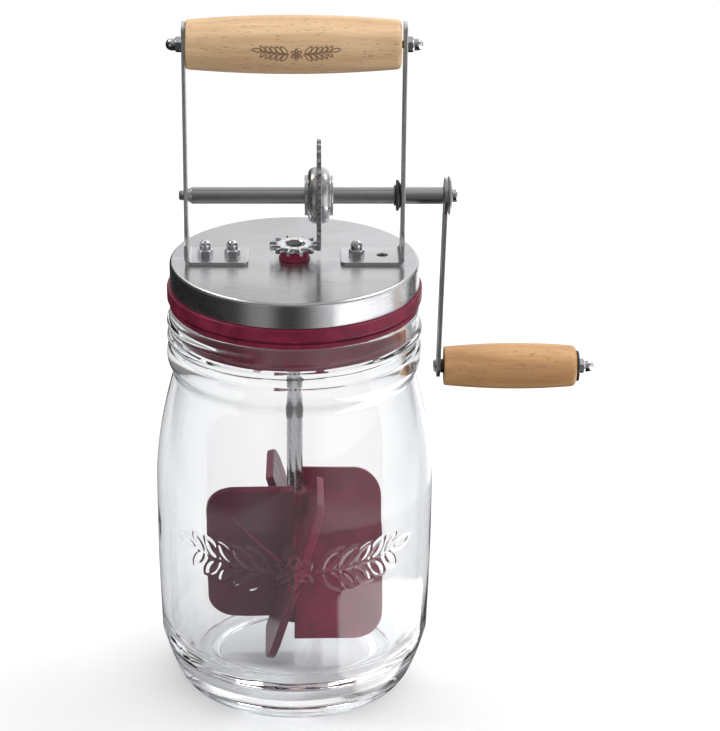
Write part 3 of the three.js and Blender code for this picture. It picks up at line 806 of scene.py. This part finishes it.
def grip_mesh(length, bore, ends, waist, rounding, angles=ROUND, step=1.5):
    """A turned grip from z = 0 to length, thickest in the middle, with rounded ends."""
    crown = 2 * waist - (ends[0] + ends[1]) / 2
    points = [(bore + 0.3, 0)]
    points += [(ends[0] - rounding[0] - 0.2, 0)]
    points += bezier((ends[0] - rounding[0], 0), (ends[0], 0), (ends[0], rounding[0]), steps=6)
    barrel = bezier(points[-1], (crown, length / 2), (ends[1], length - rounding[1]), steps=60)
    points += spaced([points[-1]] + barrel, lambda radius, z: step)[1:]
    points += bezier(points[-1], (ends[1], length), (ends[1] - rounding[1], length), steps=8)
    points += [(ends[1] - rounding[1] - 0.3, length), (bore + 0.3, length), (bore, length - 0.3), (bore, 0.3)]
    return turned(points, angles)


def handle_grip_mesh():
    """The handle's grip, with a sprig burnt in its front."""
    length = extent("handle_grip").x
    fine = np.arange(-58, 58, 1.0)
    plain = np.arange(58, 302, 3.75)
    angles = np.radians(np.concatenate((fine, plain))) + FRONT
    mesh = grip_mesh(length, SCREW_HOLE, (9.7, 9.7), 11.4, (1.0, 2.5), angles, step=0.28)
    moved(mesh, 0, 0, -length / 2)
    points, radius, around = polar(mesh)
    on_barrel = (radius > 10) & (np.abs(around) < 1.0)
    burn = np.where(on_barrel, sprig(points[:, 2] - 1.0, -around * 11.4, 15.5, 0.26), 0)
    mesh.attributes.new("burn", "FLOAT", "POINT").data.foreach_set("value", burn.astype(np.float32))
    return swell(mesh, points, radius, -0.12 * burn)


# ---- drive ----

def toothed_outline(teeth, tip, root, tip_width, phase):
    """A plate's outline with straight teeth and arched gaps; phase is the angle of the first tooth."""
    pitch = FULL_TURN / teeth
    half_gap = (pitch * tip - tip_width) / 2
    rim = math.sqrt(tip ** 2 - half_gap ** 2)
    outline = []
    for tooth in range(teeth):
        gap = (tooth + 0.5) * pitch + phase
        for step in range(15):
            angle = math.pi * step / 14
            across = -half_gap * math.cos(angle)
            out = rim - (rim - root) * math.sin(angle) ** 0.8
            outline.append((out * math.cos(gap) - across * math.sin(gap),
                            out * math.sin(gap) + across * math.cos(gap)))
        outline.append((tip * math.cos(gap + pitch / 2), tip * math.sin(gap + pitch / 2)))
    return outline


def toothed_mesh(outline, bore, thickness, countersink=0.0, edge=0.14):
    """A toothed plate on z = 0 with softened edges and a bore, countersunk from above."""
    angles = np.arctan2([y for _, y in outline], [x for x, _ in outline])
    around = np.column_stack((np.cos(angles), np.sin(angles)))

    def level(points, z):
        return np.column_stack((points, np.full(len(outline), z)))

    loops = [level(inset(outline, edge), 0), level(outline, edge), level(outline, thickness - edge),
             level(inset(outline, edge), thickness)]
    loops += [level(around * (bore + countersink + 0.15), thickness)]
    loops += [level(around * (bore + countersink), thickness - 0.08)]
    loops += [level(around * bore, thickness - 0.1 - countersink * 0.9), level(around * bore, 0.1)]
    loops += [level(around * (bore + 0.1), 0)]
    return skin(loops, closed=True)


def gear_mesh():
    tip = SHAFT_Z - low("drive_gear").z
    outline = toothed_outline(27, tip, tip - 2.7, 1.5, 0)
    return toothed_mesh(outline, SHAFT_RADIUS + FIT, extent("drive_gear").x)


def pinion_mesh():
    tip = 10.1
    root = 6.6
    outline = toothed_outline(12, tip, root, 1.35, math.pi / 12)
    return toothed_mesh(outline, ROD_RADIUS + FIT, extent("pinion").z, countersink=0.95)


def hub_mesh():
    """A hub cup, seat at z = 0: a domed wall, a step and a flat end with a soft rim."""
    rim = extent("gear_hub_left").z / 2
    depth = extent("gear_hub_left").x
    bore = SHAFT_RADIUS + FIT
    profile = [(bore, 0), (rim - 0.15, 0), (rim, 0.15)]
    profile += bezier(profile[-1], (rim - 0.2, 2.7), (9.2, 3.35), steps=10)
    profile += bezier((8.4, 3.4), (8.0, 3.4), (8.0, 3.8), steps=3)
    profile += bezier((8.0, depth - 0.4), (8.0, depth), (7.6, depth), steps=4)
    profile += [(4.6, depth), (4.3, depth - 0.25), (bore, depth - 0.25)]
    return turned(profile)


def shaft_mesh():
    start = low("drive_shaft").x
    end = high("drive_shaft").x - start
    shoulder = low("left_bracket").x + STRIP + 0.2 - start
    nose = high("crank_arm").x - 1.7 - start
    profile = [(JOURNAL - 0.7, 0), (JOURNAL - 0.5, 0.06), (JOURNAL, 0.6), (JOURNAL, shoulder)]
    profile += [(JOURNAL + 0.5, shoulder), (SHAFT_RADIUS - 0.15, shoulder + 1.3)]
    profile += [(SHAFT_RADIUS, shoulder + 1.6)]
    profile += [(SHAFT_RADIUS, nose - 0.3), (SHAFT_RADIUS - 0.3, nose), (JOURNAL, nose)]
    profile += [(JOURNAL, end - 0.4), (JOURNAL - 0.4, end)]
    return turned(profile, closed=False)


def clip_mesh():
    """A dished push-on clip, its cup open to the left, z = 0 at its right end."""
    bore = SHAFT_RADIUS + FIT
    return turned(rounded(
        (bore, -2.7, 0.1), (bore + 0.7, -2.7, 0.25), (bore + 0.6, -1.1, 0.15), (6.1, -1.9, 0.2),
        (6.2, -1.0, 0.3), (bore + 1.0, 0, 0.2), (bore, 0, 0.1), steps=3))


# ---- crank ----

# How far the crank's arm leans inwards for each millimetre of its length.
ARM_SET = 0.021


def arm_mesh():
    """The crank's arm: a round head at the origin, the arm along +x, its inner face on z = 0."""
    reach = SHAFT_Z - middle("crank_grip").z
    head = 7.0
    half = 4.5
    join = math.asin(half / head)
    half_turn = np.linspace(0, math.pi, 17)
    outline = [(reach + half * math.sin(angle), -half * math.cos(angle)) for angle in half_turn]
    sweep = np.linspace(join + 0.06, FULL_TURN - join - 0.06, 41)
    neck = head * math.cos(join)
    outline += [(neck + 1.2, half), (neck + 0.4, half + 0.08)]
    outline += [(head * math.cos(angle), head * math.sin(angle)) for angle in sweep]
    outline += [(neck + 0.4, -half - 0.08), (neck + 1.2, -half)]
    tools = [drill(JOURNAL + FIT, STRIP, 0.12) for hole in ("shaft", "spindle")]
    moved(tools[1], reach, 0, -ARM_SET * reach)
    return combined(slab(outline, STRIP, edge=0.22, tilt=ARM_SET), tools, "DIFFERENCE")


def dome_washer_mesh():
    bore = JOURNAL + FIT
    rim = extent("crank_dome_washer").z / 2
    crown = extent("crank_dome_washer").x - 0.2
    profile = [(bore, 0.35), (rim - 0.8, 0.3), (rim - 0.15, 0.2), (rim, 0.35), (rim, 0.7), (rim - 0.2, 0.85)]
    profile += bezier(profile[-1], (5.6, 1.75), (3.0, crown), steps=10)
    profile += [(bore + 0.1, crown), (bore, crown - 0.1)]
    return turned(profile)


def crank_nut_mesh():
    bore = JOURNAL + FIT
    return turned(rounded((bore, 0, 0), (2.6, 0, 0.2), (2.6, 2.1, 0.55), (bore, 2.1, 0.1)))


def spindle_mesh():
    """The grip's spindle: a rivet head at the arm, a plain pin and a threaded end."""
    start = low("crank_spindle").x
    end = high("crank_spindle").x - start
    shoulder = low("crank_cap_nut").x - start
    profile = bezier((0.4, 0.0), (2.2, 0.0), (2.6, 0.75), steps=6)
    profile += [(2.6, 1.05), (2.5, 1.1), (2.0, 1.1), (2.0, shoulder)]
    profile += thread_profile(SCREW, shoulder, end)
    return turned(profile, closed=False)


def ring_mesh(node, bore, edge=0.2):
    """A washer along the node's own X, from z = 0."""
    radius = extent(node).z / 2
    thickness = extent(node).x
    return turned(rounded((bore, 0, edge / 2), (radius, 0, edge), (radius, thickness, edge),
                          (bore, thickness, edge / 2), steps=3))


# ---- paddle ----

def blade_mesh(reach, chord, thickness, corner):
    outline = round_ended(0, reach, chord / 2, corner, steps=10)
    mesh = slab(outline, thickness, edge=0.7, steps=4)
    return moved(mesh, 0, 0, -thickness / 2)


def paddle_mesh():
    """A hub with four blades, each turned about its own radius."""
    centre_z = 53
    pitch = math.radians(17)
    lean = Matrix.Rotation(math.pi / 2 - pitch, 4, "X")
    top = 82.0
    bottom = 22.0
    hub = turned(rounded((0.6, bottom, 0), (5.0, bottom, 1.6), (5.0, top, 0.8), (0.6, top, 0)), closed=False)
    blades = []
    for number in range(4):
        spin = Matrix.Rotation(number * math.pi / 2, 4, "Z")
        mesh = moved(blade_mesh(36.6, 72.0, 3.2, 12.0), turn=lean)
        blades.append(moved(moved(mesh, 0, 0, centre_z), turn=spin))
    whole = combined(hub, blades, "UNION")
    bore = ROD_RADIUS + FIT
    tool = turned([(bore, bottom + 5.9), (bore, top + 9)], ROUND[::2], closed=False)
    return combined(whole, [tool], "DIFFERENCE")


def rod_mesh():
    bottom = low("paddle_rod").z
    top = high("paddle_rod").z
    return turned([(ROD_RADIUS - 0.5, bottom), (ROD_RADIUS, bottom + 0.5), (ROD_RADIUS, top - 0.5),
                   (ROD_RADIUS - 0.15, top - 0.2), (ROD_RADIUS - 0.5, top), (ROD_RADIUS - 1.2, top - 0.12)],
                  closed=False)


# ---- all pieces ----

def build_jar():
    piece("jar", jar_mesh(), clear_glass(), sharp=60)


def build_lid():
    steel = brushed_steel("brushed_steel", 0.6, grain=2, smear=1, roughness=0.27)
    polished = polished_steel()
    red = silicone("silicone", (0.14, 0.012, 0.034, 1), (0.24, 0.02, 0.056, 1))
    piece("lid_cap", lid_mesh(), spun_steel("spun_steel", 0.64), z=LID_TOP)
    piece("lid_seal", seal_mesh(), red)
    piece("rod_bush", bush_mesh(), red)
    shaft_hole = (SHAFT_Z, SHAFT_RADIUS + PLAY)
    journal_hole = (SHAFT_Z, JOURNAL + PLAY)
    handle_hole = (middle("handle_tie_rod").z, SCREW_HOLE)
    left_screws = [(middle(nut).x, SCREW_HOLE) for nut in FOOT_NUTS[:2]]
    right_screws = [(middle(FOOT_NUTS[2]).x, SCREW_HOLE), (VENT_X, VENT_RADIUS)]
    for node, side, foot_holes, cross_holes in (
        ("left_bracket", -1, left_screws, [journal_hole, handle_hole]),
        ("right_bracket", 1, right_screws, [shaft_hole, handle_hole]),
    ):
        mesh, outer = drilled_bracket(node, side, foot_holes, cross_holes)
        piece(node, mesh, steel, x=outer, z=LID_TOP)
    for nut in FOOT_NUTS:
        bolt = nut.replace("nut", "bolt")
        piece(nut, acorn_nut(), polished, x=middle(nut).x, z=low(nut).z)
        piece(bolt, foot_bolt(), steel, x=middle(bolt).x, z=LID_TOP - 1.0)
    pale_beech = beech("pale_beech", (0.775, 0.524, 0.302, 1), (0.57, 0.359, 0.188, 1), burnt=True)
    grip = middle("handle_grip")
    piece("handle_grip", handle_grip_mesh(), pale_beech, x=grip.x, z=grip.z, turn=Z_TO_RIGHT)
    rod = middle("handle_tie_rod")
    half = extent("handle_tie_rod").x / 2
    rod_profile = [(SCREW - 0.4, -half)] + thread_profile(SCREW, 0.5 - half, half)
    tie_rod = turned(rod_profile, ROUND[::2], closed=False)
    piece("handle_tie_rod", tie_rod, steel, x=rod.x, z=rod.z, turn=Z_TO_RIGHT)
    for nut, x, turn in (
        ("handle_nut_left", high("handle_nut_left").x, Z_TO_LEFT),
        ("handle_nut_right", low("handle_nut_right").x, Z_TO_RIGHT),
    ):
        piece(nut, acorn_nut(), polished, x=x, z=rod.z, turn=turn)


def build_crank():
    drawn = brushed_steel("drawn_steel", 0.5, grain=0, smear=2, roughness=0.3, anisotropic=0.6)
    arm_steel = brushed_steel("arm_steel", 0.5, grain=2, smear=1, roughness=0.25)
    polished = bpy.data.materials["polished_steel"]
    satin = polished_steel("satin_steel", 0.56, 0.27)
    dark = dark_steel()
    beside = {"z": SHAFT_Z, "turn": Z_TO_RIGHT}
    piece("drive_shaft", shaft_mesh(), drawn, x=low("drive_shaft").x, **beside)
    piece("shaft_clip", clip_mesh(), dark, x=high("shaft_clip").x, **beside)
    piece("drive_gear", gear_mesh(), drawn, x=low("drive_gear").x, **beside)
    piece("gear_hub_right", hub_mesh(), satin, x=low("gear_hub_right").x, **beside)
    piece("gear_hub_left", hub_mesh(), satin, x=high("gear_hub_left").x, z=SHAFT_Z, turn=Z_TO_LEFT)
    piece("crank_arm", arm_mesh(), arm_steel, x=high("crank_arm").x - STRIP, **beside)
    piece("crank_dome_washer", dome_washer_mesh(), arm_steel, x=high("crank_arm").x, **beside)
    piece("crank_nut", crank_nut_mesh(), polished, x=low("crank_nut").x, **beside)
    below = {"z": middle("crank_grip").z, "turn": Z_TO_RIGHT}
    piece("crank_spindle", spindle_mesh(), arm_steel, x=low("crank_spindle").x, **below)
    for washer in ("crank_inner_washer", "crank_outer_washer"):
        piece(washer, ring_mesh(washer, JOURNAL + FIT), dark, x=low(washer).x, **below)
    piece("crank_cap_nut", acorn_nut(), polished, x=low("crank_cap_nut").x, **below)
    warm_beech = beech("warm_beech", (0.661, 0.37, 0.16, 1), (0.467, 0.234, 0.0912, 1))
    grip = grip_mesh(extent("crank_grip").x, JOURNAL + PLAY, (7.9, 8.4), 9.3, (0.6, 2.6))
    piece("crank_grip", grip, warm_beech, x=low("crank_grip").x, **below)


def build_rotor():
    piece("pinion", pinion_mesh(), polished_steel("pinion_steel", 0.8, 0.16), z=low("pinion").z)
    rod_steel = polished_steel("rod_steel", 0.5, 0.2, dull_above=high("paddle_rod").z - 0.3)
    piece("paddle_rod", rod_mesh(), rod_steel)
    bore = ROD_RADIUS + FIT
    ring = turned(rounded((bore, 0, 0.1), (5, 0, 0.2), (5, 0.8, 0.2), (bore, 0.8, 0.1), steps=3))
    piece("rod_clip", ring, bpy.data.materials["dark_steel"], z=low("rod_clip").z)
    deep = (0.15, 0.002, 0.024, 1)
    rich = (0.25, 0.006, 0.046, 1)
    piece("paddle", paddle_mesh(), silicone("paddle_silicone", deep, rich, dusty=0.5, painted_left_shade=True))


# ---- studio ----

# Brightness round the studio at table height, against the angle from the camera towards the right.
STUDIO_BANDS = (
    (-180, 1.0), (-168, 0.08), (-150, 0.02), (-90, 0.01), (-75, 0.02), (-52, 0.08), (-38, 0.44), (-26, 0.5),
    (-12, 0.07), (0, 0.06), (11, 0.24), (29, 1.15), (45, 1.35), (62, 1.1), (110, 0.82), (122, 0.6),
    (131, 0.04), (140, 0.3), (150, 1.4), (180, 1.3),
)


def build_world():
    """White for the eye, brighter from the right for matt pieces; mirrors and glass see a banded studio."""
    world = bpy.data.worlds.new("studio")
    bpy.context.scene.world = world
    studio = Nodes(world)
    axes = studio.axes(studio.add("ShaderNodeTexCoord").outputs["Generated"])
    angle = studio.math("ARCTAN2", axes["X"], studio.math("MULTIPLY", axes["Y"], -1.0))
    share = studio.math("ADD", studio.math("MULTIPLY", angle, 1 / FULL_TURN), 0.5)
    ramp = studio.add("ShaderNodeValToRGB", {"Fac": share})
    stops = ramp.color_ramp.elements
    while len(stops) < len(STUDIO_BANDS):
        stops.new(0.5)
    for stop, (degrees, brightness) in zip(stops, STUDIO_BANDS):
        stop.position = degrees / 360 + 0.5
        stop.color = (brightness, brightness, brightness, 1)
    table_level = studio.add("ShaderNodeSeparateColor", {0: ramp.outputs["Color"]}).outputs[0]
    upper = studio.spread(axes["Y"], -0.55, 0.35, 0.22, 1.05)
    left_side = studio.math("MULTIPLY", studio.spread(axes["X"], -0.6, -0.15, 1, 0), 0.9)
    upper = studio.mix(left_side, upper, 0.06)
    upper = studio.mix(studio.spread(axes["Z"], 0.6, 0.95), upper, 0.55)
    near_table = studio.spread(axes["X"], 0.5, 0.56, 0.02, 4.0)
    table_edge = studio.math("MULTIPLY", table_level, 0.12)
    table_edge = studio.mix(studio.spread(axes["Z"], -0.478, -0.47), near_table, table_edge)
    below = studio.mix(studio.spread(axes["Z"], -0.43, -0.405), table_edge, table_level)
    pattern = studio.mix(studio.spread(axes["Z"], 0.05, 0.5), below, upper)
    path = studio.add("ShaderNodeLightPath").outputs
    in_glass = studio.spread(path["Transmission Depth"], 0, 1, 0, 0.12)
    pattern = studio.mix(in_glass, pattern, 0.9)
    from_right = studio.spread(axes["X"], -0.9, 0.8, 0.62, 1.3)
    mirrored = studio.math("SUBTRACT", path["Is Glossy Ray"], path["Diffuse Depth"])
    mirrored.node.use_clamp = True
    strength = studio.mix(mirrored, from_right, pattern)
    light = studio.add("ShaderNodeBackground", {"Color": (1, 1, 1, 1), "Strength": strength})
    studio.set(studio.tree.nodes["World Output"].inputs["Surface"], light.outputs[0])


def allow_long_light_paths():
    """Light goes round many times in the thick heel of the jar; cut short, it would leave black streaks."""
    paths = bpy.context.scene.cycles
    paths.max_bounces = 24
    paths.glossy_bounces = 16
    paths.transmission_bounces = 24


def build_floor():
    """A pale floor.

    Seen through glass it is darker, most of all beyond the picture's sides, which draws the edges of the
    glass. It throws about half as much light on the churn as it would from its looks.
    """
    look = Look("floor")
    seen = look.add("ShaderNodeCameraData").outputs["View Vector"]
    axes = look.axes(seen)
    slope = look.math("DIVIDE", look.math("ABSOLUTE", axes["X"]), look.math("ABSOLUTE", axes["Z"]))
    side = look.spread(slope, 0.19, 0.3)
    clouds = look.noise(0.01, detail=2)
    pale = look.blend(look.spread(clouds), grey(0.9), grey(0.93))
    path = look.add("ShaderNodeLightPath").outputs
    through_glass = look.blend(side, grey(0.8), grey(0.2))
    body = look.blend(path["Is Transmission Ray"], pale, through_glass)
    body = look.blend(path["Is Diffuse Ray"], body, grey(0.42))
    look.surface(Base_Color=body, Roughness=0.9)
    half = 4.0
    mesh = bpy.data.meshes.new("floor")
    corners = [(-half, -half, 0), (half, -half, 0), (half, half, 0), (-half, half, 0)]
    mesh.from_pydata(corners, [], [(0, 1, 2, 3)])
    mesh.materials.append(look.material)
    floor = mesh_object(mesh)
    floor.location.z = -0.0002
    floor.visible_glossy = False


def build_lamps():
    """Two soft boxes overhead, left and right of the churn."""
    target = Vector((JAR_X, 0, LID_TOP)) * MM
    for side in (-1, 1):
        lamp = bpy.data.lights.new("soft_box", "AREA")
        lamp.shape = "SQUARE"
        lamp.size = 0.36
        lamp.energy = 3.0
        holder = bpy.data.objects.new("soft_box", lamp)
        holder.location = target + Vector((side * 0.52, 0.24, 0.8)) * 1.1
        holder.rotation_euler = (target - holder.location).to_track_quat("-Z", "Y").to_euler()
        bpy.context.scene.collection.objects.link(holder)


def build_camera():
    """Stands in front of the jar and looks down at it; the frame is shifted so the crank fits in."""
    tilt = math.radians(22.93)
    camera = bpy.data.cameras.new("camera")
    camera.sensor_width = 36
    camera.lens = 130.97
    camera.shift_x = 0.0889
    camera.clip_start = 0.05
    camera.clip_end = 20
    holder = bpy.data.objects.new("camera", camera)
    holder.location = Vector((JAR_X + 0.2, -995.5, 558.6)) * MM
    holder.rotation_euler = (math.pi / 2 - tilt, 0, 0)
    bpy.context.scene.collection.objects.link(holder)
    bpy.context.scene.camera = holder


build_jar()
build_lid()
build_crank()
build_rotor()
build_world()
allow_long_light_paths()
build_floor()
build_lamps()
build_camera()
bpy.context.scene.view_settings.view_transform = "Standard"
